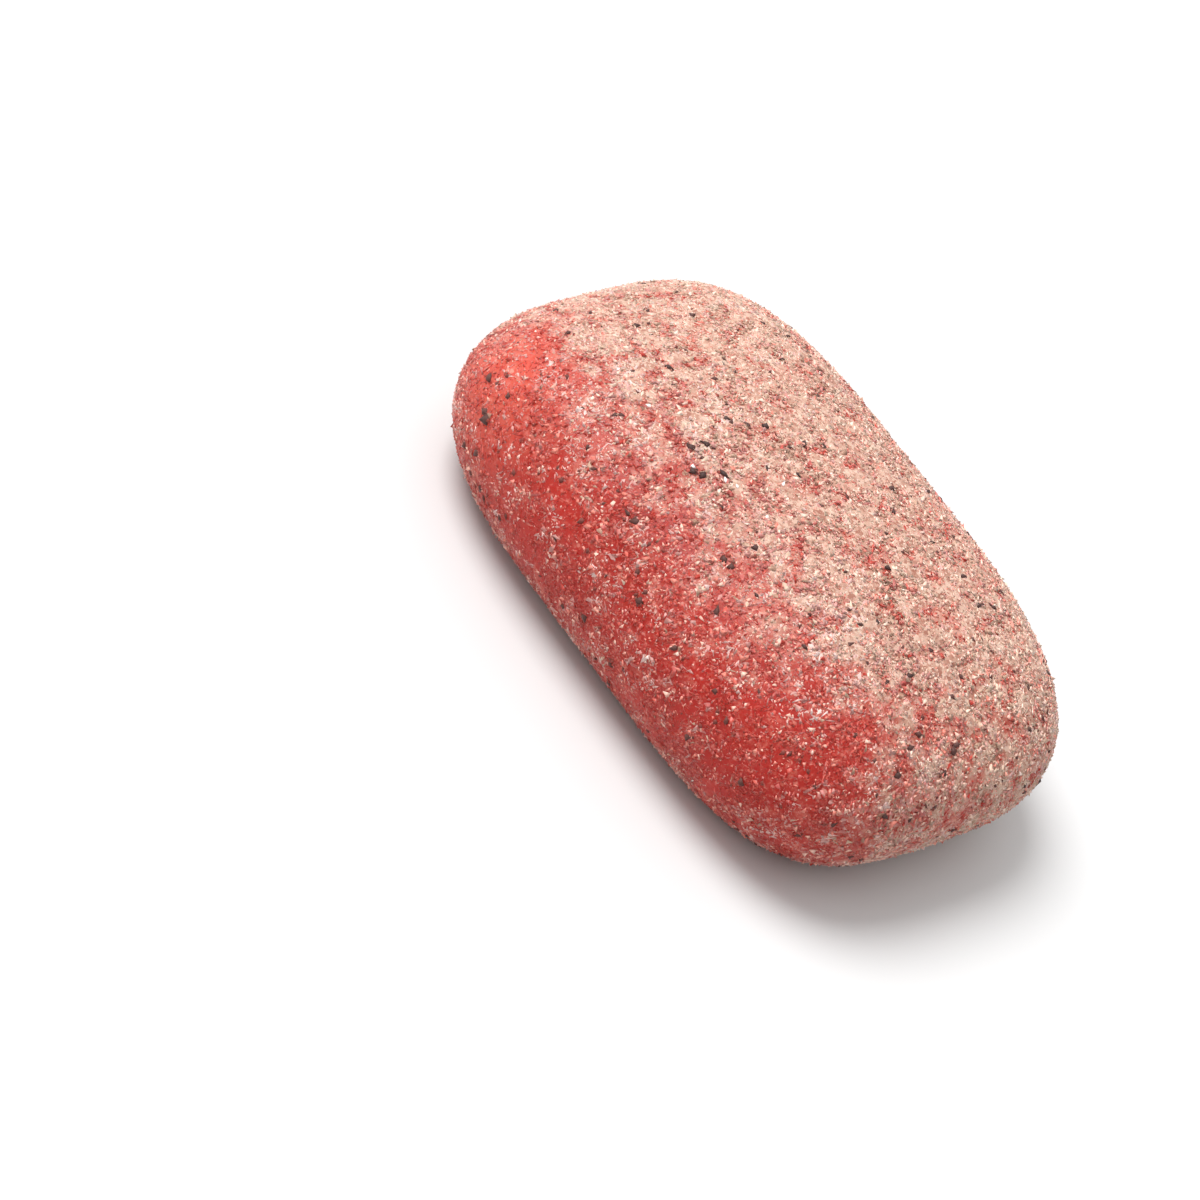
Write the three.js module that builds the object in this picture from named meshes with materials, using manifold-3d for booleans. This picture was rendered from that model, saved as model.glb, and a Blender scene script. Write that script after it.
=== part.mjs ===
// A soft plum gummy: one block of moulded jelly, a rounded rectangle from above and a low
// pillow from the side, with a nearly flat underside. It is rolled in fine powder. The packed
// powder roughens the jelly, and the coarsest pieces of the coat, dark leaf flecks and sugar
// crystals, stand proud of it.
//
// Millimetres, +Z up, +X along the length. The origin is on the surface that the gummy lies
// on, below the middle of its underside.

import * as THREE from 'three';
import { mergeVertices } from 'three/addons/utils/BufferGeometryUtils.js';
import Module from 'manifold-3d';

// The jelly.
const LENGTH = 21.9;
const WIDTH = 14.1;
const HEIGHT = 7.25;
const WIDEST_LEVEL = 2.83; // height at which the outline is widest
const FLAT_SHARE = 0.73; // flat underside, as a share of the length and of the width
const PLAN_POWER = 3.6; // squareness of the outline from above: 2 is an ellipse
const CROWN_POWER = 2.27; // squareness of the crown in section
const DISH = 0.12; // how far the underside sank as the jelly dried: it rests on four corners
const SWELL = 0.07; // slow unevenness of the soft jelly
const CRUST_RELIEF = 0.045; // roughness that the packed powder gives it

// Facets of the jelly along its length, width and height, about 0.8 mm across.
const FACETS = { long: 26, wide: 18, high: 10 };

// The coarsest pieces of the coat. They get smaller from the first to the last. The first are
// placed by hand, as round and climb, which surfacePoint explains, and the others are drawn.
const LEAF_FLECKS = {
  placed: [[0.65, 0.13], [0.68, 0.7], [0.71, 0.68], [0.67, 0.75], [0.71, 0.74], [0.7, 0.87],
    [0.63, 0.2], [0.73, 0.41], [0.94, 0.68], [0.93, 0.32], [0.79, 0.57], [0.09, 0]],
  count: 180,
  largest: 0.5,
  smallest: 0.28,
  thickness: 0.62,
  seed: 1,
};
const SUGAR_CRYSTALS = {
  placed: [[0.72, 0.73], [0.64, 0.65], [0.75, 0.88], [0.7, 0.67], [0.73, 0.75], [0.61, 0.59]],
  count: 110,
  largest: 0.46,
  smallest: 0.26,
  thickness: 0.8,
  seed: 2,
};
const SIZE_FALL = 0.5; // below 1, only a few pieces are near the largest size
const SINK = 0.03; // how deep a piece's middle lies in the jelly
const CORNER_UNEVEN = 0.5; // how unevenly a piece's corners stand out
const TILT = 0.9; // how far a piece leans at most, in radians
const LOWEST_PIECE = 0.6; // none is centred below this height, so the underside stays flat
const LARGEST_AREA = 720; // mm² that a unit step of round and climb spans at most

/** A number from 0 to 1 that is always the same for the same two counts. */
function drawn(index, which) {
  const wave = Math.sin(index * 12.9898 + which * 78.233) * 43758.5453;
  return wave - Math.floor(wave);
}

/** How far the jelly stands out of its ideal form near a place: three slow crossed waves. */
function swellAt({ x, y, z }) {
  const along = Math.sin(0.52 * x + 1.3) * Math.cos(0.61 * y - 0.4);
  const across = Math.sin(0.83 * y + 0.45 * x + 2.1);
  const upward = Math.cos(0.9 * z - 0.37 * x + 0.8);
  return SWELL * (0.5 * along + 0.3 * across + 0.2 * upward);
}

/** A point of a unit superellipse, in the direction of an angle from its first axis. */
function superellipse(angle, power) {
  const [c, s] = [Math.cos(angle), Math.sin(angle)];
  const reach = (Math.abs(c) ** power + Math.abs(s) ** power) ** (-1 / power);
  return [reach * c, reach * s];
}

/** How far the underside is off the ground: nothing at its four corners, DISH elsewhere. */
function dishAt(round, climb) {
  const out = Math.min(1, 2 * (1 + climb));
  const cornerward = Math.sin(4 * Math.PI * round) ** 4;
  const fade = climb > -0.5 ? Math.max(0, -Math.sin(Math.PI * climb)) : 1;
  return DISH * (1 - out ** 4 * cornerward) * fade;
}

/**
 * The jelly's surface. round goes from 0 to 1 about the vertical. climb goes from -1 at the
 * middle of the underside to -0.5 at the edge of its flat, 0 at the widest level and 1 at the
 * top of the crown. The section is a flat, a quarter ellipse and a quarter superellipse.
 */
function surfacePoint(round, climb) {
  const [across, along] = superellipse(2 * Math.PI * round, PLAN_POWER);
  let [share, height] = [2 * FLAT_SHARE * (1 + climb), 0];
  if (climb > 0) {
    const [out, up] = superellipse((Math.PI / 2) * climb, CROWN_POWER);
    [share, height] = [out, WIDEST_LEVEL + (HEIGHT - WIDEST_LEVEL) * up];
  } else if (climb > -0.5) {
    share = FLAT_SHARE + (1 - FLAT_SHARE) * Math.cos(Math.PI * climb);
    height = WIDEST_LEVEL * (1 + Math.sin(Math.PI * climb));
  }
  const point = new THREE.Vector3((LENGTH / 2) * share * across, (WIDTH / 2) * share * along, height);
  const swell = swellAt(point) * Math.min(1, height / WIDEST_LEVEL);
  const outward = new THREE.Vector3(share * across, share * along, (height / HEIGHT) ** 2);
  point.z += dishAt(round, climb);
  return point.addScaledVector(outward, swell);
}

/** The normal there, whose length is the area that a unit step of both parameters spans. */
function surfaceNormal(round, climb) {
  const step = 1e-4;
  const here = surfacePoint(round, climb);
  const alongRound = surfacePoint(round + step, climb).sub(here);
  const alongClimb = surfacePoint(round, climb - step).sub(here);
  return alongClimb.cross(alongRound).divideScalar(step * step);
}

/** A geometry with only its places left, and with its shared corners merged. */
function mergedCorners(geometry) {
  geometry.deleteAttribute('normal');
  geometry.deleteAttribute('uv');
  return mergeVertices(geometry);
}

/** Moves every corner of a geometry to where place puts it. */
function moveCorners(geometry, place) {
  const corners = geometry.attributes.position;
  for (let i = 0; i < corners.count; i += 1) {
    const corner = place(new THREE.Vector3().fromBufferAttribute(corners, i), i);
    corners.setXYZ(i, corner.x, corner.y, corner.z);
  }
  return geometry;
}

/** The jelly: a box of even facets, each corner carried out to the surface and roughened. */
function jellyGeometry() {
  const box = mergedCorners(new THREE.BoxGeometry(2, 2, 2, FACETS.long, FACETS.wide, FACETS.high));
  return moveCorners(box, (corner, index) => {
    const [x, y, z] = corner.toArray().map((side) => Math.tan((side * Math.PI) / 4));
    const out = Math.max(Math.abs(x), Math.abs(y));
    const round = Math.atan2(y, x) / (2 * Math.PI);
    const climb = Math.atan2(z, out) / (Math.PI / 2);
    const point = surfacePoint(round, climb);
    if (z <= -1 || out === 0) return point;
    const relief = CRUST_RELIEF * (2 * drawn(index, 0) - 1) * Math.min(1, point.z);
    return point.addScaledVector(surfaceNormal(round, climb).normalize(), relief);
  });
}

/** The places of one kind: those set by hand, then draws that are even over the area. */
function placesOf(kind) {
  const places = [...kind.placed];
  for (let draw = 0; places.length < kind.count; draw += 1) {
    const round = drawn(draw, kind.seed + 10);
    const climb = 1.5 * drawn(draw, kind.seed + 20) - 0.5;
    const kept = drawn(draw, kind.seed + 30) * LARGEST_AREA < surfaceNormal(round, climb).length();
    if (kept && surfacePoint(round, climb).z > LOWEST_PIECE) places.push([round, climb]);
  }
  return places;
}

/** One coarse piece: an uneven lump of eight facets, half sunk in the jelly. */
function coarsePiece(kind, index, round, climb) {
  const own = (which) => drawn(index + 1, 100 * kind.seed + which);
  const lump = moveCorners(mergedCorners(new THREE.OctahedronGeometry(0.5)), (corner, i) =>
    corner.multiplyScalar(1 + CORNER_UNEVEN * (own(i) - 0.5)));
  const size = kind.largest - (kind.largest - kind.smallest) * (index / kind.count) ** SIZE_FALL;
  const normal = surfaceNormal(round, climb).normalize();
  const place = surfacePoint(round, climb).addScaledVector(normal, -SINK);
  const upward = new THREE.Vector3(0, 0, 1);
  const turn = new THREE.Quaternion().setFromUnitVectors(upward, normal);
  const lean = new THREE.Euler(TILT * own(8), TILT * own(9), 2 * Math.PI * own(6));
  turn.multiply(new THREE.Quaternion().setFromEuler(lean));
  const stretch = new THREE.Vector3(size, size * (0.7 + 0.3 * own(7)), size * kind.thickness);
  return lump.applyMatrix4(new THREE.Matrix4().compose(place, turn, stretch));
}

const wasm = await Module();
wasm.setup();

/** A solid from a closed geometry whose shared corners are merged. */
function solidFrom(geometry) {
  const vertProperties = Float32Array.from(geometry.attributes.position.array);
  const triVerts = Uint32Array.from(geometry.index.array);
  return new wasm.Manifold(new wasm.Mesh({ numProp: 3, vertProperties, triVerts }));
}

/** The gummy: the jelly with every coarse piece joined to it. */
function gummyGeometry() {
  let solid = solidFrom(jellyGeometry());
  for (const kind of [LEAF_FLECKS, SUGAR_CRYSTALS]) {
    placesOf(kind).forEach(([round, climb], index) => {
      solid = solid.add(solidFrom(coarsePiece(kind, index, round, climb)));
    });
  }
  const joined = solid.getMesh();
  const geometry = new THREE.BufferGeometry();
  geometry.setAttribute('position', new THREE.BufferAttribute(joined.vertProperties, 3));
  geometry.setIndex(new THREE.BufferAttribute(joined.triVerts, 1));
  geometry.computeVertexNormals();
  return geometry;
}

const powderedJelly = new THREE.MeshStandardMaterial({ color: 0xd4806f, roughness: 0.55, metalness: 0 });
const gummy = new THREE.Mesh(gummyGeometry(), powderedJelly);
gummy.name = 'gummy';

const group = new THREE.Group();
group.add(gummy);

export default group;
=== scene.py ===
"""A powdered plum gummy, lying on a plain white table.

The gummy is a block of moulded jelly: one closed surface of two parameters, worked out with
numpy. Its coat is six kinds of grain, each of them one mesh. Grains are drawn evenly over the
jelly, and more of them are kept where their kind lies. Lengths are in millimetres until a mesh
or a material is made.
"""

import itertools
import math

import bpy
import numpy as np
from mathutils import Matrix, Vector


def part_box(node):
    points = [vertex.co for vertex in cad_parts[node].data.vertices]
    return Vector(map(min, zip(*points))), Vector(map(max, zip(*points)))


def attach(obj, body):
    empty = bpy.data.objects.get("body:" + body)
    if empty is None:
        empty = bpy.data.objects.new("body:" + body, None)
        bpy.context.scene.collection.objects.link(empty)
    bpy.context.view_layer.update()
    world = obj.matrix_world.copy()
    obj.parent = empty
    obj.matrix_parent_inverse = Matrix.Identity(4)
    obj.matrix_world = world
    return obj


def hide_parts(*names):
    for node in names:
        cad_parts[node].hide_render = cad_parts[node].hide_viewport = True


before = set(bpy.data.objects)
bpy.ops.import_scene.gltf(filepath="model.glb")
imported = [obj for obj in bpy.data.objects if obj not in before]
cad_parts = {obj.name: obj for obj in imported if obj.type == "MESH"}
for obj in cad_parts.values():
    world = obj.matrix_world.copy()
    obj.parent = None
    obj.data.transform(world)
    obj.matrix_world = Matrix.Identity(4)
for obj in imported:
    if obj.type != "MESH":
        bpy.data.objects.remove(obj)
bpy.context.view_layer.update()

MM = 0.001

# ---------------------------------------------------------------- the jelly's form

# The coarsest grains stand this far proud of the jelly in length, width and height.
PROUD = np.array([0.28, 0.19, 0.14])
low_corner, high_corner = (np.array(corner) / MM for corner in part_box("gummy"))
LENGTH, WIDTH, HEIGHT = high_corner - low_corner - PROUD

WIDEST_LEVEL = 0.39 * HEIGHT  # height at which the outline is widest
FLAT_SHARE = 0.73  # flat underside, as a share of the length and of the width
PLAN_POWER = 3.6  # squareness of the outline from above: 2 is an ellipse
CROWN_POWER = 2.27  # squareness of the crown in section
DISH = 0.12  # how far the underside sank as the jelly dried: it rests on four corners
SWELL = 0.07  # slow unevenness of the soft jelly
UNDER_COAT = 0.09  # thickness of the powder that it lies on


def superellipse(angle, power):
    """A point of the curve |x|^power + |y|^power = 1, in the direction of an angle."""
    c, s = np.cos(angle), np.sin(angle)
    reach = (np.abs(c) ** power + np.abs(s) ** power) ** (-1 / power)
    return reach * c, reach * s


def swell_at(points):
    """Three slow crossed waves, up to SWELL high."""
    x, y, z = points.T
    along = np.sin(0.52 * x + 1.3) * np.cos(0.61 * y - 0.4)
    across = np.sin(0.83 * y + 0.45 * x + 2.1)
    upward = np.cos(0.9 * z - 0.37 * x + 0.8)
    return SWELL * (0.5 * along + 0.3 * across + 0.2 * upward)


def dish_at(turn, climb):
    """Height of the underside off the table: nothing at its four corners, DISH elsewhere."""
    out = np.minimum(1, 2 * (1 + climb))
    cornerward = np.sin(4 * np.pi * turn) ** 4
    fade = np.where(climb > -0.5, np.maximum(0, -np.sin(np.pi * climb)), 1)
    return DISH * (1 - out**4 * cornerward) * fade


def jelly_points(turn, climb):
    """The jelly's surface. turn goes from 0 to 1 about the vertical. climb goes from -1 at the
    middle of the underside to -0.5 at the edge of its flat, 0 at the widest level and 1 at the
    top of the crown. The outline from above is a superellipse, and the section is a flat, a
    quarter ellipse and a quarter superellipse, with a slow swell added outwards."""
    across, along = superellipse(2 * np.pi * turn, PLAN_POWER)
    crown_out, crown_up = superellipse(np.pi / 2 * np.clip(climb, 0, 1), CROWN_POWER)
    side = np.pi * np.clip(climb, -0.5, 0)
    round_out = FLAT_SHARE + (1 - FLAT_SHARE) * np.cos(side)
    flat_out = 2 * FLAT_SHARE * (1 + climb)
    share = np.select([climb > 0, climb > -0.5], [crown_out, round_out], flat_out)
    crown = WIDEST_LEVEL + (HEIGHT - WIDEST_LEVEL) * crown_up
    height = np.where(climb > 0, crown, WIDEST_LEVEL * (1 + np.sin(side)))
    points = np.stack([LENGTH / 2 * share * across, WIDTH / 2 * share * along, height], -1)
    swell = swell_at(points) * np.minimum(1, height / WIDEST_LEVEL)
    outward = np.stack([share * across, share * along, (height / HEIGHT) ** 2], -1)
    points += swell[:, None] * outward
    points[:, 2] += dish_at(turn, climb)
    points[:, 2] = UNDER_COAT + points[:, 2] * (1 - UNDER_COAT / HEIGHT)
    return points


def jelly_normals(turn, climb):
    """The surface's normals, each as long as the area that a unit step of turn and climb spans:
    the cross product of its two slopes."""
    step = 1e-4
    here = jelly_points(turn, climb)
    along_turn = jelly_points(turn + step, climb) - here
    along_climb = jelly_points(turn, climb - step) - here
    return np.cross(along_climb, along_turn) / step**2


def unit(vectors):
    """Vectors of the same directions, each one long."""
    return vectors / np.maximum(np.linalg.norm(vectors, axis=-1, keepdims=True), 1e-12)


# ---------------------------------------------------------------- where the coat lies

# Places where the coat is worn thin and the jelly shows: middle, radius, and share that is gone.
THIN_PATCHES = [
    ((-7.6, -5.9, 4.6), 2.3, 0.45),
    ((-9.0, -4.5, 4.2), 2.1, 0.28),
    ((6.0, -5.6, 5.2), 2.0, 0.25),
    ((8.6, -4.3, 5.1), 2.2, 0.42),
    ((8.8, -5.6, 2.0), 2.2, 0.4),
    ((10.8, -1.0, 3.0), 4.2, 0.32),
    ((-10.6, 2.5, 2.2), 2.0, 0.5),
    ((3.0, 7.0, 2.2), 2.4, 0.5),
    ((-4.0, 2.0, 0.0), 3.0, 0.4),
]
FULL_COAT = 0.98  # thickness of the coat where it is whole, before its drifts
RUBBED_SIDE = (-2.4, -7.2)  # the coat thins from here to here across the width
RUBBED_SHARE = 0.8  # how much of it is gone there
PAINTED_GLOW = ((-8.4, -5.6, 4.6), 3.2)  # middle and radius of a painted glow: the gel's colour is brighter at this corner, as if light came through
TAN_AND_PINK_SHEEN_FROM = (-5.0, 0.0)  # the powder turns from pink, partly a painted sheen, to tan from here to here across the width

# Unevenness of the coat as noises of several sizes. Each is a size and a depth.
COAT_DRIFTS = [(2.6, 0.25), (1.1, 0.28), (0.5, 0.95)]
THIN_DRIFTS = 0.45  # share of their depth that they keep where the coat is gone
CLUMPS = [(0.45, 1.56), (0.225, 1.04)]  # the powder has balled into these, with steep edges


def progress(values, start, end):
    """How far values have come from start to end, from 0 to 1."""
    return np.clip((values - start) / (end - start), 0, 1)


def smooth_step(share):
    """A share from 0 to 1 that sets off and arrives slowly: 3 share² - 2 share³."""
    return share * share * (3 - 2 * share)


def raised(least, share):
    """A share from 0 to 1, made to go from least to 1."""
    return least + (1 - least) * share


def hashed(lattice, seed):
    """A number from 0 to 1 that is always the same for the same whole-number place and seed."""
    wave = np.sin(lattice @ (12.9898, 78.233, 37.719) + 4.1 * seed) * 43758.5453
    return wave - np.floor(wave)


def noise(points, size, seed):
    """Smooth noise from 0 to 1. A random number stands at every corner of a grid of cubes, and
    each place blends the eight about it by a smooth step of its distance to them."""
    cell = points / size
    low = np.floor(cell)
    part = smooth_step(cell - low)
    total = np.zeros(len(points))
    for corner in itertools.product((0, 1), repeat=3):
        weight = np.prod(np.where(corner, part, 1 - part), axis=1)
        total += weight * hashed(low + corner, seed)
    return total


def unevenness(points, kinds, seed):
    """Noises added up. kinds has each one's size and its depth, which it spans about 0. Their
    seeds count up from seed."""
    return sum(
        depth * (noise(points, size, own_seed) - 0.5)
        for own_seed, (size, depth) in enumerate(kinds, seed)
    )


def bell(points, middle, radius):
    """A bell curve of the distance from a middle: 1 there, and 0.37 at the radius."""
    return np.exp(-((np.linalg.norm(points - middle, axis=1) / radius) ** 2))


def coat_at(points):
    """How thick the powder lies, from 0 to 1: thick all over, but thin at the patches, each of
    which fades by a bell curve, and down the rubbed side, by a smooth step. Drifts of three
    sizes are added, lower ones where it is thin."""
    left = np.ones(len(points))
    for middle, radius, share in THIN_PATCHES:
        left *= 1 - share * bell(points, middle, radius)
    left *= 1 - RUBBED_SHARE * smooth_step(progress(points[:, 1], *RUBBED_SIDE))
    drifts = unevenness(points, COAT_DRIFTS, 1) * raised(THIN_DRIFTS, left)
    return np.clip(FULL_COAT * left + drifts, 0, 1)


def clump_at(points):
    """How far the powder has balled together, from 0 to 1: noise of two sizes, cut off."""
    return np.clip(0.5 + unevenness(points, CLUMPS, 31), 0, 1)


def tan_and_pink_sheen_at(points):
    """How tan the powder is, from 0 to 1: tan across the crown, pink from its near edge down. The pink
    there is partly the powder's own colour and partly a painted sheen.
    """
    return progress(points[:, 1], *TAN_AND_PINK_SHEEN_FROM)


# ---------------------------------------------------------------- meshes from arrays


def made_piece(name, points, faces, values=None, cells=None):
    """A mesh piece from points in millimetres and faces of equal size. values are numbers for
    each point, by name. cells is a UV map, by face corner, that an image of it is drawn on."""
    mesh = bpy.data.meshes.new(name)
    count, sides = faces.shape
    mesh.vertices.add(len(points))
    mesh.vertices.foreach_set("co", (points * MM).astype(np.float32).ravel())
    mesh.loops.add(count * sides)
    mesh.loops.foreach_set("vertex_index", faces.astype(np.int32).ravel())
    mesh.polygons.add(count)
    mesh.polygons.foreach_set("loop_start", np.arange(0, count * sides, sides, dtype=np.int32))
    for key, numbers in (values or {}).items():
        layer = mesh.attributes.new(key, "FLOAT", "POINT")
        layer.data.foreach_set("value", numbers.astype(np.float32))
    if cells is not None:
        layer = mesh.uv_layers.new(name="OFBake", do_init=False)
        layer.uv.foreach_set("vector", cells.astype(np.float32).ravel())
    mesh.update(calc_edges=True)
    mesh.validate()
    piece = bpy.data.objects.new(name, mesh)
    bpy.context.scene.collection.objects.link(piece)
    return piece


def box_lattice(long, wide, high):
    """The surface of a box of cubes: each crossing's place from -1 to 1, and the squares. Each
    side's crossings are counted in whole numbers, and those that two sides share are merged."""
    counts = np.array([long, wide, high])
    corners, squares, made = [], [], 0
    for axis, end in itertools.product(range(3), (0, 1)):
        first, second = (axis + 1) % 3, (axis + 2) % 3
        steps = np.indices((counts[first] + 1, counts[second] + 1)).reshape(2, -1)
        side = np.zeros((steps.shape[1], 3), int)
        side[:, first], side[:, second] = steps
        side[:, axis] = end * counts[axis]
        corners.append(side)
        row = counts[second] + 1
        at = made + np.add.outer(np.arange(counts[first]) * row, np.arange(counts[second])).ravel()
        square = np.stack([at, at + row, at + row + 1, at + 1], 1)
        squares.append(square if end else square[:, ::-1])
        made += len(side)
    places, shared = np.unique(np.concatenate(corners), axis=0, return_inverse=True)
    return 2 * places / counts - 1, shared.ravel()[np.concatenate(squares)]


# ---------------------------------------------------------------- the jelly

JELLY_SQUARES = (196, 130, 72)  # along its length, width and height, 0.11 mm across
CRUST_DEPTH = 0.05  # how far the clumps of powder stand out
GRIT = [(0.2, 0.03)]  # size and depth of the finer roughness
# How much the finest powder hides: in all of the coat, more in its clumps, and more where tan.
COVER, CLUMP_COVER, TAN_COVER = 0.7, 0.4, 0.28


def make_jelly():
    """The jelly: a box lattice whose every crossing is carried to the surface in its own
    direction, then moved along the normal by the clumps of powder where the coat is thick."""
    places, squares = box_lattice(*JELLY_SQUARES)
    x, y, z = np.tan(places * np.pi / 4).T
    turn = np.arctan2(y, x) / (2 * np.pi)
    climb = np.arctan2(z, np.maximum(np.abs(x), np.abs(y))) / (np.pi / 2)
    points = jelly_points(turn, climb)
    normals = unit(jelly_normals(turn, climb))
    normals[np.abs(x) + np.abs(y) < 1e-9] = (0, 0, 1)  # the top, where turn has no slope
    normals[z <= -1] = (0, 0, -1)
    coat = coat_at(points)
    clump = clump_at(points)
    lumps = CRUST_DEPTH * (clump - 0.5)
    points += normals * ((lumps + unevenness(points, GRIT, 4)) * coat)[:, None]
    points[:, 2] = np.maximum(points[:, 2], 0)
    cover = coat * (COVER + CLUMP_COVER * clump) + TAN_COVER * tan_and_pink_sheen_at(points)
    # The glow value is a painted glow: it makes the gel's colour brighter at one corner, as if light
    # came through.
    return made_piece("jelly", points, squares, {"cover": cover, "painted_glow": bell(points, *PAINTED_GLOW)})


# ---------------------------------------------------------------- the grains

# The coarse pieces get smaller from the first to the last, and the solid gummy holds the first of
# them. The first few of each kind are listed, as turn and climb.
FLECKS_PLACED = [(0.65, 0.13), (0.68, 0.7), (0.71, 0.68), (0.67, 0.75), (0.71, 0.74), (0.7, 0.87),
                 (0.63, 0.2), (0.73, 0.41), (0.94, 0.68), (0.93, 0.32), (0.79, 0.57), (0.09, 0.0)]
FLECKS, SOLID_FLECKS = 560, 180
LARGEST_FLECK, SMALLEST_FLECK = 0.5, 0.28  # of those in the solid
CRUMBLED_FLECKS, CRUMBS_EACH = 80, 3  # the first flecks have bits broken off beside them
CRUMB_SPREAD = np.array([[0.0035], [0.018]])  # in turn and in climb: about 0.2 mm each
CRUMB_SIZES = (0.3, 0.65)  # least and most, as a share of the fleck's
CRYSTALS_PLACED = [(0.72, 0.73), (0.64, 0.65), (0.75, 0.88), (0.7, 0.67), (0.73, 0.75), (0.61, 0.59)]
CRYSTALS, SOLID_CRYSTALS = 900, 110
LARGEST_CRYSTAL, SMALLEST_CRYSTAL = 0.276, 0.156  # 0.6 of those in the solid
LEAST_SIZE = 0.4  # the sizes that go on falling stop at this share of the smallest
SIZE_FALL = 0.5  # below 1, only a few coarse pieces are near the largest size
LOWEST_PIECE = 0.6  # no coarse piece is centred below this height

SIZE_SPREAD = 0.38  # how unequal a powder's grains are
SIZE_LIMITS = (0.5, 2.4)  # least and most, as a share of the middle size
LARGEST_AREA = 720  # mm² that a unit step of turn and climb spans at most
COARSE_DRAWS, POWDER_DRAWS = 8, 16  # places drawn for each one that is wanted
CORNER_REACH = (0.75, 1.25)  # a corner's distance from the middle is multiplied by one of these
GRAIN_WIDTHS = (0.4, 0.9)  # least and most, as a share of the length


def shard():
    """A tetrahedron whose edges are about 1 long: four corners of a cube, and four triangles."""
    corners = 0.36 * np.array([(1, 1, 1), (1, -1, -1), (-1, 1, -1), (-1, -1, 1)])
    return corners, np.array([(0, 1, 2), (0, 3, 1), (0, 2, 3), (1, 3, 2)])


def bipyramid():
    """An octahedron 1 long: its six corners, of which the last three are on the negative axes,
    and its eight triangles, wound the other way where an odd number of those is in them."""
    corners = np.concatenate([np.eye(3), -np.eye(3)]) / 2
    triangles = []
    for x, y, z in itertools.product((0, 3), (1, 4), (2, 5)):
        turned_round = (x == 3) ^ (y == 4) ^ (z == 5)
        triangles.append((x, z, y) if turned_round else (x, y, z))
    return corners, np.array(triangles)


def drawn(index, which):
    """A number from 0 to 1 that is always the same for the same two counts."""
    wave = np.sin(index * 12.9898 + which * 78.233) * 43758.5453
    return wave - np.floor(wave)


def coarse_places(placed, count, seed):
    """turn and climb of the coarse pieces: those listed, then draws that are kept in proportion to the
    area they stand for."""
    draws = np.arange(COARSE_DRAWS * count)
    turn = drawn(draws, seed + 10)
    climb = 1.5 * drawn(draws, seed + 20) - 0.5
    area = np.linalg.norm(jelly_normals(turn, climb), axis=1)
    kept = drawn(draws, seed + 30) * LARGEST_AREA < area
    kept &= jelly_points(turn, climb)[:, 2] > LOWEST_PIECE
    found = np.stack([turn[kept], climb[kept]], 1)
    return np.concatenate([placed, found])[:count].T


def powder_places(count, taste, seed):
    """turn and climb of fine grains, even over the area and kept as taste says, which gets how
    thick, how clumped and how tan the coat is at each."""
    random = np.random.default_rng(seed)
    draws = POWDER_DRAWS * count
    turn = random.random(draws)
    climb = 2 * random.random(draws) - 1
    area = np.linalg.norm(jelly_normals(turn, climb), axis=1)
    fair = random.random(draws) * LARGEST_AREA < area
    turn, climb = turn[fair], climb[fair]
    points = jelly_points(turn, climb)
    kept = random.random(len(points)) < taste(coat_at(points), clump_at(points), tan_and_pink_sheen_at(points))
    return turn[kept][:count], climb[kept][:count]


def with_crumbs(places, sizes, seed):
    """The places and sizes of flecks, with bits that broke off added beside the largest ones."""
    random = np.random.default_rng(seed)
    large = np.repeat(np.arange(CRUMBLED_FLECKS), CRUMBS_EACH)
    crumbs = places[:, large] + random.normal(size=(2, len(large))) * CRUMB_SPREAD
    crumb_sizes = sizes[large] * random.uniform(*CRUMB_SIZES, len(large))
    return np.concatenate([places, crumbs], 1), np.concatenate([sizes, crumb_sizes])


def turned(spin, lean, tip):
    """Rotations: a lean about X and a tip about Y, then a spin about Z."""
    (cs, ss), (cl, sl), (ct, st) = ((np.cos(a), np.sin(a)) for a in (spin, lean, tip))
    none, one = np.zeros_like(spin), np.ones_like(spin)
    about_z = np.stack([cs, -ss, none, ss, cs, none, none, none, one], -1)
    about_y = np.stack([ct, none, st, none, one, none, -st, none, ct], -1)
    about_x = np.stack([one, none, none, none, cl, -sl, none, sl, cl], -1)
    shape = (-1, 3, 3)
    return about_z.reshape(shape) @ about_y.reshape(shape) @ about_x.reshape(shape)


def make_grains(name, shape, places, sizes, *, thickness, lean, sink, tint, seed):
    """Grains as one mesh. Every grain is the shape with its corners moved in or out at random,
    made narrower, flattened to thickness as a share of its size, leaned by up to lean radians,
    turned about the jelly's normal and sunk by a share of its size. tint gives each grain a
    number from its place and a random number."""
    random = np.random.default_rng(seed)
    corners, triangles = shape
    turn, climb = places
    count = len(turn)
    spot, normal = jelly_points(turn, climb), unit(jelly_normals(turn, climb))
    sideways = unit(np.cross(normal, unit(random.normal(size=(count, 3)))))
    axes = np.stack([sideways, np.cross(normal, sideways), normal], 2)
    own = turned(
        random.uniform(0, 2 * np.pi, count),
        random.uniform(-lean, lean, count),
        random.uniform(-lean, lean, count),
    )
    uneven = random.uniform(*CORNER_REACH, (count, len(corners), 1))
    narrow = random.uniform(*GRAIN_WIDTHS, count)
    stretch = np.stack([np.ones(count), narrow, np.full(count, thickness)], 1)
    grains = corners * uneven * (stretch * sizes[:, None])[:, None]
    grains = grains @ (axes @ own).transpose(0, 2, 1)
    middle = spot - normal * (sink * sizes)[:, None]
    points = (grains + middle[:, None]).reshape(-1, 3)
    points[:, 2] = np.maximum(points[:, 2], 0)
    faces = (triangles + len(corners) * np.arange(count)[:, None, None]).reshape(-1, 3)
    tints = np.repeat(np.clip(tint(spot, random.random(count)), 0, 1), len(corners))
    return made_piece(name, points, faces, {"tint": tints}, cells=grain_cells(count, len(triangles)))


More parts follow.
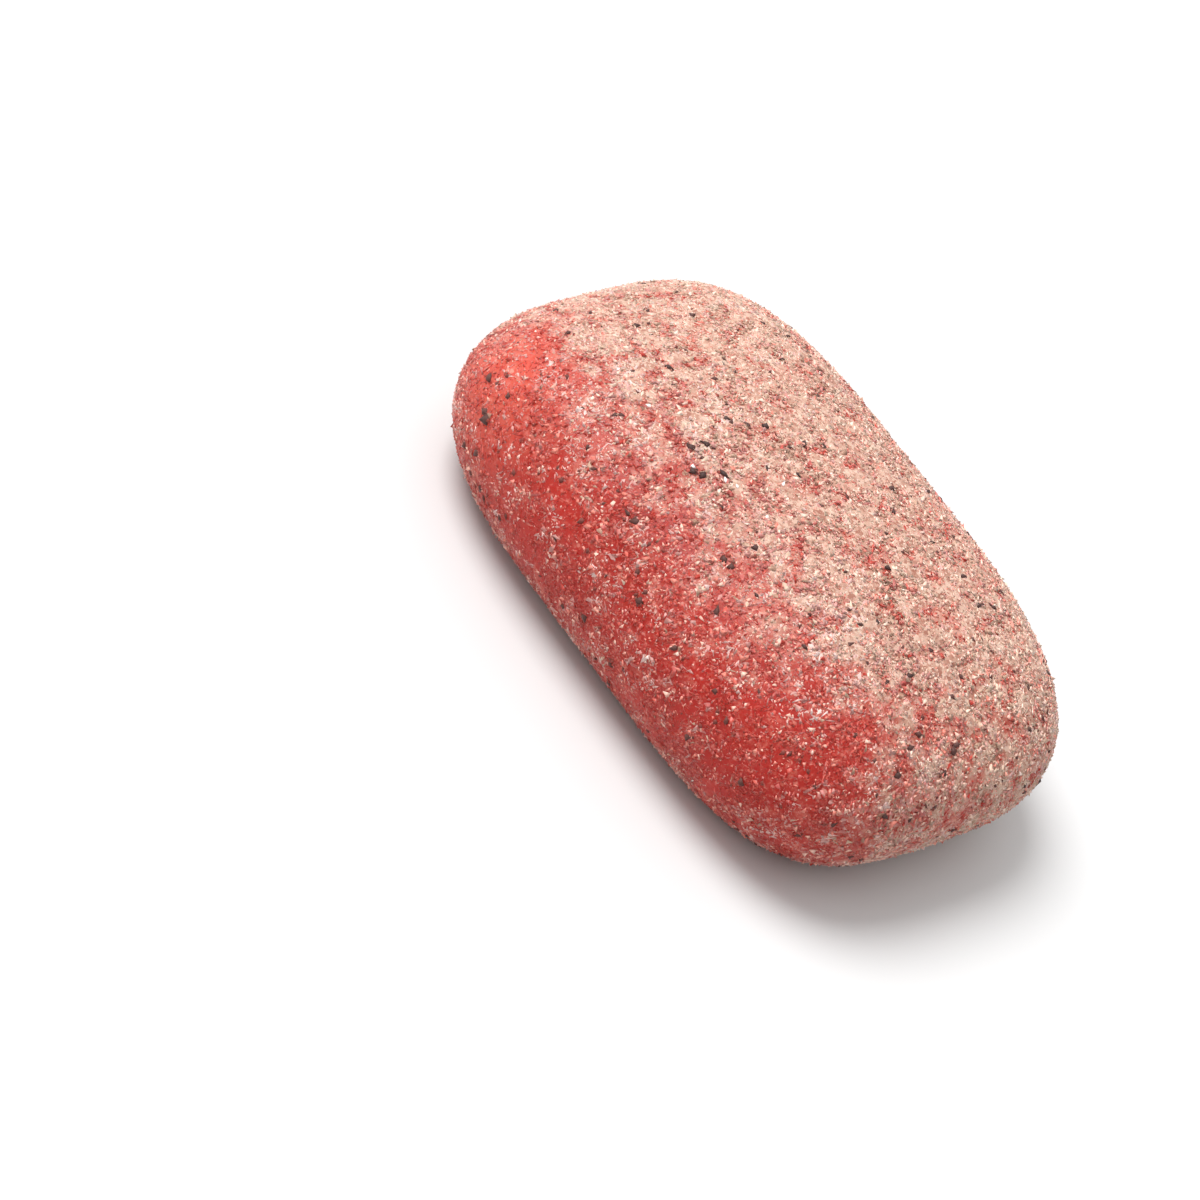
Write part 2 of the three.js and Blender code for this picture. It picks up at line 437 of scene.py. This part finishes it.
def grain_cells(count, sides):
    """A UV map with one square cell for each grain, in rows. All of its triangles lie on the
    same middle part of the cell."""
    across = math.ceil(math.sqrt(count))
    grain = np.repeat(np.arange(count), sides)
    corner = np.stack([grain % across, grain // across], 1)[:, None]
    return (corner + np.array([(0.2, 0.2), (0.8, 0.2), (0.5, 0.8)])) / across


def falling_sizes(count, solid_count, largest, smallest):
    """Sizes that fall as the solid's do, from the largest on, and go on falling after them."""
    share = (np.arange(count) / solid_count) ** SIZE_FALL
    return np.maximum(largest - (largest - smallest) * share, LEAST_SIZE * smallest)


def spread_sizes(count, middle, seed):
    """Sizes about a middle size, which is multiplied by e to the power of a normal draw."""
    spread = SIZE_SPREAD * np.random.default_rng(seed).normal(size=count)
    return middle * np.exp(spread).clip(*SIZE_LIMITS)


def stained(points):
    """How much the jelly's juice has coloured the powder: where the coat is thin, it has soaked
    through."""
    return 1 - coat_at(points)


# A grain's tint goes from 0 for the first colour of its material to 1 for the last, and these
# say how much each thing adds to it.
SHADE_DRIFTS = [(3.5, 0.4), (1.0, 0.7)]  # drifts of darker and paler powder: size and depth
CLUMP_SHADE, CHANCE_SHADE = 0.7, 0.45
SHADE_TAKEN = 0.58  # taken away, so that the sum is about 0
MIDDLE_SHADE = 0.47
TAN_EVENNESS = 0.35  # how much of the difference from the middle shade is gone where it is tan
STAIN_SHADE = -0.5
FLECK_STAIN_SHADE, FLECK_ORDER_SHADE = 0.4, 0.35
FLECK_CHANCE_SHADES = (0.2, 0.8)  # for the first fleck and the last
CRYSTAL_CHANCE_SHADE = 0.75


def by_place(points, chance):
    """Paler and darker in drifts of two sizes, paler where it has balled together, by chance,
    and darker where it is stained. It is more even where it is tan."""
    shade = unevenness(points, SHADE_DRIFTS, 15) + CLUMP_SHADE * clump_at(points)
    shade += CHANCE_SHADE * (chance - stained(points)) - SHADE_TAKEN
    return MIDDLE_SHADE + shade * (1 - TAN_EVENNESS * tan_and_pink_sheen_at(points))


def by_chance_and_stain(points, chance):
    """By chance, and darker where it is stained."""
    return chance + STAIN_SHADE * stained(points)


def by_order_or_stain(points, chance):
    """Dark for the first and largest. The later it comes, the redder it is, and the more so by
    chance. It is redder where it is stained too."""
    order = np.minimum(np.arange(len(points)) / (3 * SOLID_FLECKS), 1)
    first, last = FLECK_CHANCE_SHADES
    by_chance = (first + (last - first) * order) * chance
    return by_chance + FLECK_ORDER_SHADE * order + FLECK_STAIN_SHADE * stained(points)


def mostly_low(points, chance):
    """By chance, and mostly low, as a clear crystal shows the jelly. Those listed, which come first,
    are white."""
    shade = CRYSTAL_CHANCE_SHADE * chance**2
    shade[: len(CRYSTALS_PLACED)] = 1
    return shade


# The powders. size is the middle size of a grain, and taste the share of the places that are
# kept, by how thick, clumped and tan the coat is. The grains are as fine as the number of
# triangles allows, and the jelly's material draws the finer ones.
POWDERS = {
    "warm_powder": {
        "count": 46000, "size": 0.2,
        "taste": lambda coat, clump, tan: coat**2.2 * raised(0.12, clump) * raised(0.45, tan),
        "form": {"thickness": 0.4, "lean": 0.4, "sink": 0.1, "tint": by_place}},
    # Pink powder is kept more where the powder is pink, which is partly a painted sheen.
    "pink_powder": {
        "count": 40000, "size": 0.19,
        "taste": lambda coat, clump, tan: coat**0.9 * raised(0.22, clump) * (1 - 0.68 * tan),
        "form": {"thickness": 0.4, "lean": 0.4, "sink": 0.1, "tint": by_place}},
    "pale_powder": {
        "count": 40000, "size": 0.14,
        "taste": lambda coat, clump, tan: coat * raised(0.25, clump),
        "form": {"thickness": 0.5, "lean": 0.6, "sink": 0.05, "tint": by_chance_and_stain}},
    "red_powder": {
        "count": 20000, "size": 0.18,
        "taste": lambda coat, clump, tan: (0.6 - 0.52 * coat) * (1 - 0.6 * clump),
        "form": {"thickness": 0.4, "lean": 0.35, "sink": 0.1, "tint": by_chance_and_stain}},
}
FLECK_FORM = {"thickness": 0.45, "lean": 0.5, "sink": 0.03, "tint": by_order_or_stain}
CRYSTAL_FORM = {"thickness": 0.8, "lean": 0.9, "sink": 0.1, "tint": mostly_low}


def make_powder(name, kind, place_seed, seed):
    """One powder, by the values of its kind."""
    places = powder_places(kind["count"], kind["taste"], place_seed)
    sizes = spread_sizes(len(places[0]), kind["size"], seed)
    return make_grains(name, shard(), places, sizes, seed=seed, **kind["form"])


def make_coat():
    """All the coat's pieces, by name. Each kind has random seeds of its own."""
    fleck_sizes = falling_sizes(FLECKS, SOLID_FLECKS, LARGEST_FLECK, SMALLEST_FLECK)
    flecks = with_crumbs(coarse_places(FLECKS_PLACED, FLECKS, 1), fleck_sizes, 41)
    crystal_sizes = falling_sizes(CRYSTALS, SOLID_CRYSTALS, LARGEST_CRYSTAL, SMALLEST_CRYSTAL)
    crystals = coarse_places(CRYSTALS_PLACED, CRYSTALS, 2), crystal_sizes
    coat = {
        "leaf_flecks": make_grains("leaf_flecks", bipyramid(), *flecks, seed=21, **FLECK_FORM),
        "sugar_crystals": make_grains(
            "sugar_crystals", bipyramid(), *crystals, seed=22, **CRYSTAL_FORM),
    }
    for number, (name, kind) in enumerate(POWDERS.items()):
        coat[name] = make_powder(name, kind, 11 + number, 23 + number)
    return coat


# ---------------------------------------------------------------- materials


def linear(colour):
    """An sRGB hex colour as linear numbers, with alpha 1."""
    shares = [int(colour[i : i + 2], 16) / 255 for i in (1, 3, 5)]
    return [*(s / 12.92 if s <= 0.04045 else ((s + 0.055) / 1.055) ** 2.4 for s in shares), 1.0]


def add(tree, kind, inputs, **settings):
    """Adds one node with its settings. Each input is a value, or another node's output."""
    node = tree.nodes.new(kind)
    for name, value in settings.items():
        setattr(node, name, value)
    for socket, value in inputs.items():
        if isinstance(value, bpy.types.NodeSocket):
            tree.links.new(value, node.inputs[socket])
        else:
            node.inputs[socket].default_value = value
    return node


def new_material(name):
    """A material with an empty node tree, and that tree."""
    material = bpy.data.materials.new(name)
    material.use_nodes = True
    material.node_tree.nodes.clear()
    return material, material.node_tree


def blend(tree, share, colours):
    """A colour that goes evenly through the given ones as share goes from 0 to 1."""
    steps = len(colours) - 1
    colour = linear(colours[0])
    for step, end in enumerate(colours[1:]):
        part = add(tree, "ShaderNodeMapRange", {
            "Value": share, "From Min": step / steps, "From Max": (step + 1) / steps})
        mix = add(tree, "ShaderNodeMix", {
            "Factor": part.outputs[0], "A": colour, "B": linear(end)}, data_type="RGBA")
        colour = mix.outputs["Result"]
    return colour


# The finest powder, in mm. Real fine powder is about 0.05 across, which is too fine to show.
FINE_GRAIN = 0.13
GRAIN_BEND = 0.25  # how far its specks are pulled out of shape
GRAIN_HEIGHT = 0.03  # how far it stands out
GEL_UNEVENNESS = 2.5  # mm from a darker to a lighter place in the gel
GEL_DEPTH = 4.0  # mm that red light goes into it


def plum_gel():
    """Gelatine jelly, coloured with red plum and moulded. Light goes deep into it, red furthest,
    so it glows where it is thin. The finest powder, too small to be grains of its own, lies on
    it as a film of cloud and specks that is closer where the coat is thick. Where the film is,
    light stays out of the gel and its shine is dull."""
    material, tree = new_material("moulded_plum_gelatine")
    place = add(tree, "ShaderNodeTexCoord", {}).outputs["Object"]
    coat = add(tree, "ShaderNodeAttribute", {}, attribute_name="cover").outputs["Fac"]
    painted_glow = add(tree, "ShaderNodeAttribute", {}, attribute_name="painted_glow").outputs["Fac"]

    # The cloud: fine noise, of which more shows where the coat is thick.
    dust = add(tree, "ShaderNodeTexNoise", {
        "Vector": place, "Scale": 1 / (FINE_GRAIN * MM), "Detail": 3.0})
    level = add(tree, "ShaderNodeMath", {0: dust.outputs["Fac"], 1: coat}, operation="ADD")
    cloud = add(tree, "ShaderNodeMapRange", {
        "Value": level.outputs[0], "From Min": 0.66, "From Max": 1.5, "To Min": 0.04, "To Max": 0.95})

    # The specks: bent cells that fade from their middles, larger by chance and by the coat.
    bent = add(tree, "ShaderNodeVectorMath", {
        0: dust.outputs["Color"], 1: (GRAIN_BEND * MM,) * 3, 2: place}, operation="MULTIPLY_ADD")
    cells = add(tree, "ShaderNodeTexVoronoi", {
        "Vector": bent.outputs[0], "Scale": 1 / (FINE_GRAIN * MM)})
    chance = add(tree, "ShaderNodeSeparateColor", {"Color": cells.outputs["Color"]})
    near = add(tree, "ShaderNodeMath", {
        0: cells.outputs["Distance"], 1: -1.1, 2: chance.outputs[0]}, operation="MULTIPLY_ADD")
    speck = add(tree, "ShaderNodeMath", {
        0: coat, 1: 0.7, 2: near.outputs[0]}, operation="MULTIPLY_ADD")
    specks = add(tree, "ShaderNodeMapRange", {
        "Value": speck.outputs[0], "From Min": 0.1, "From Max": 0.7, "To Min": 0.0, "To Max": 0.75})
    film = add(tree, "ShaderNodeMath", {
        0: cloud.outputs[0], 1: specks.outputs[0]}, operation="MAXIMUM")

    # The colours: the gel, brighter at one corner by a painted glow, and the powder, from juicy and
    # red where the coat is thin to dry and tan.
    slow = add(tree, "ShaderNodeTexNoise", {
        "Vector": place, "Scale": 1 / (GEL_UNEVENNESS * MM), "Detail": 2.0})
    red = blend(tree, slow.outputs["Fac"], ["#AC211B", "#BA2C25", "#C94036"])
    gel = add(tree, "ShaderNodeMix", {
        "Factor": painted_glow, "A": red, "B": linear("#D85646")}, data_type="RGBA").outputs["Result"]
    dry = blend(tree, chance.outputs[1], ["#986858", "#B89280", "#D2B4A2"])
    wet = blend(tree, chance.outputs[1], ["#B8463C", "#CE665A", "#DE9082"])
    powder = add(tree, "ShaderNodeMix", {
        "Factor": coat, "A": wet, "B": dry}, data_type="RGBA").outputs["Result"]
    colour = add(tree, "ShaderNodeMix", {
        "Factor": film.outputs[0], "A": gel, "B": powder}, data_type="RGBA")

    # The surface: smooth and clear where the gel is bare, and dull and opaque under the film.
    roughness = add(tree, "ShaderNodeMapRange", {
        "Value": film.outputs[0], "To Min": 0.36, "To Max": 0.6})
    clear = add(tree, "ShaderNodeMapRange", {
        "Value": film.outputs[0], "To Min": 0.9, "To Max": 0.0})
    bump = add(tree, "ShaderNodeBump", {
        "Height": dust.outputs["Fac"], "Strength": 0.5, "Distance": GRAIN_HEIGHT * MM})
    shader = add(tree, "ShaderNodeBsdfPrincipled", {
        "Base Color": colour.outputs["Result"], "Roughness": roughness.outputs[0],
        "Normal": bump.outputs[0], "IOR": 1.42, "Specular IOR Level": 0.2,
        "Subsurface Weight": clear.outputs[0], "Subsurface Radius": (1.0, 0.15, 0.08),
        "Subsurface Scale": GEL_DEPTH * MM})
    add(tree, "ShaderNodeOutputMaterial", {"Surface": shader.outputs[0]})
    return material


GRAIN_DEPTH = 0.1  # mm that light goes into a grain


def grain_material(name, colours, *, roughness, ior=1.5, gloss=0.0):
    """A material of loose grains. Each grain has one colour, by its own tint, and a little light
    goes into it. gloss adds a clear sheen."""
    material, tree = new_material(name)
    tint = add(tree, "ShaderNodeAttribute", {}, attribute_name="tint").outputs["Fac"]
    shader = add(tree, "ShaderNodeBsdfPrincipled", {
        "Base Color": blend(tree, tint, colours), "Roughness": roughness, "IOR": ior,
        "Specular IOR Level": 0.3, "Coat Weight": gloss, "Coat Roughness": 0.1,
        "Subsurface Weight": 0.25, "Subsurface Radius": (1.0, 0.75, 0.65),
        "Subsurface Scale": GRAIN_DEPTH * MM})
    add(tree, "ShaderNodeOutputMaterial", {"Surface": shader.outputs[0]})
    return material


def coat_materials():
    """The finishes of the coat's pieces, by piece."""
    return {
        # Dried herb leaf, crumbled: dark plum brown, reddened by the juice, and dull.
        "leaf_flecks": grain_material(
            "dried_leaf_crumb", ["#3A2C2A", "#5E3A34", "#8C3C32"], roughness=0.55, ior=1.45),
        # Clear sugar crystals, broken: pink where they show the jelly, else white, and glinting.
        "sugar_crystals": grain_material(
            "clear_sugar_crystal", ["#DFA294", "#F5D0C2", "#FFF6F2"],
            roughness=0.15, ior=1.54, gloss=0.6),
        # Plum powder bound with sugar: tan to cream and nearly matt.
        "warm_powder": grain_material(
            "plum_sugar_powder", ["#A47866", "#C8A48E", "#EED4BE"], roughness=0.4),
        # Sugar that drew colour from the jelly: from its red to a pale pink. Along the near edge of
        # the crown, where it lies thickest, its pink is partly a painted sheen.
        "pink_powder": grain_material(
            "jelly_stained_sugar", ["#BA5852", "#D09A92", "#F4D2CA"], roughness=0.35),
        # Fine sour crystals: cream, or peach where the jelly shows through, and a little shiny.
        "pale_powder": grain_material(
            "sour_crystal_powder", ["#E28474", "#FFE0CC"], roughness=0.25),
        # Sugar soaked with juice: nearly as red as the jelly, which it makes look grainy.
        "red_powder": grain_material(
            "juice_soaked_sugar", ["#B03A30", "#CC5E52", "#DC9284"], roughness=0.3),
    }


# ---------------------------------------------------------------- table, light and camera


def make_stage():
    """A plain pale table top that reaches a metre each way."""
    corners = np.array([(-1, -1, 0), (1, -1, 0), (1, 1, 0), (-1, 1, 0)]) * 1000.0
    table = made_piece("table_top", corners, np.array([[0, 1, 2, 3]]))
    material, tree = new_material("white_laminate")
    shader = add(tree, "ShaderNodeBsdfPrincipled", {"Base Color": linear("#D0D0D0"), "Roughness": 0.6})
    add(tree, "ShaderNodeOutputMaterial", {"Surface": shader.outputs[0]})
    table.data.materials.append(material)


def make_lamp(name, towards, strength, spread):
    """A far round white lamp in the direction towards. strength is in watts a square metre, and
    spread is the angle that it fills, in degrees."""
    data = bpy.data.lights.new(name, "SUN")
    data.energy = strength
    data.angle = math.radians(spread)
    lamp = bpy.data.objects.new(name, data)
    lamp.rotation_mode = "QUATERNION"
    lamp.rotation_quaternion = Vector(towards).to_track_quat("Z", "Y")
    bpy.context.scene.collection.objects.link(lamp)


def make_light():
    """A lamp above the far end, a broader one about it, a weak one that lights the near end and
    side, and an even pale surround."""
    make_lamp("overhead_softbox", (-0.5, -0.14, 0.85), 3.2, 34)
    make_lamp("broad_softbox", (-0.4, 0.1, 0.85), 2.0, 140)
    make_lamp("end_reflector", (0.8, -0.4, 0.35), 0.4, 60)
    world = bpy.data.worlds.new("studio")
    world.use_nodes = True
    world.node_tree.nodes.clear()
    sky = add(world.node_tree, "ShaderNodeBackground", {"Color": linear("#FFFFFF"), "Strength": 0.27})
    add(world.node_tree, "ShaderNodeOutputWorld", {"Surface": sky.outputs[0]})
    bpy.context.scene.world = world


# The camera looks at a point from an azimuth, 0 being along +Y, and an elevation, then rolls.
CAMERA_TARGET = (-6.88, 5.05, -8.52)
CAMERA_DISTANCE = 193.9
CAMERA_AZIMUTH, CAMERA_ELEVATION, CAMERA_ROLL = 29.41, 40.88, 32.5
CAMERA_SENSOR, CAMERA_LENS = 36.0, 171.25


def make_camera():
    """The camera, where the gummy is seen as in the photograph."""
    data = bpy.data.cameras.new("camera")
    data.sensor_width, data.lens = CAMERA_SENSOR, CAMERA_LENS
    data.clip_start, data.clip_end = 0.01, 10
    camera = bpy.data.objects.new("camera", data)
    azimuth, elevation = math.radians(CAMERA_AZIMUTH), math.radians(CAMERA_ELEVATION)
    back = Vector((
        math.sin(azimuth) * math.cos(elevation),
        -math.cos(azimuth) * math.cos(elevation),
        math.sin(elevation),
    ))
    level = back.to_track_quat("Z", "Y").to_matrix().to_4x4()
    roll = Matrix.Rotation(math.radians(CAMERA_ROLL), 4, "Z")
    place = (Vector(CAMERA_TARGET) + back * CAMERA_DISTANCE) * MM
    camera.matrix_world = Matrix.Translation(place) @ level @ roll
    bpy.context.scene.collection.objects.link(camera)
    bpy.context.scene.camera = camera


make_camera()
make_light()
make_stage()

jelly = make_jelly()
jelly.data.shade_smooth()
jelly.data.materials.append(plum_gel())
coat = make_coat()
for part, finish in coat_materials().items():
    coat[part].data.materials.append(finish)
    if part.endswith("powder"):
        coat[part].data.shade_smooth()  # its grains are worn round

for piece in [jelly, *coat.values()]:
    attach(piece, "root")
    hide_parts("gummy")

bpy.context.scene.view_settings.view_transform = "Standard"
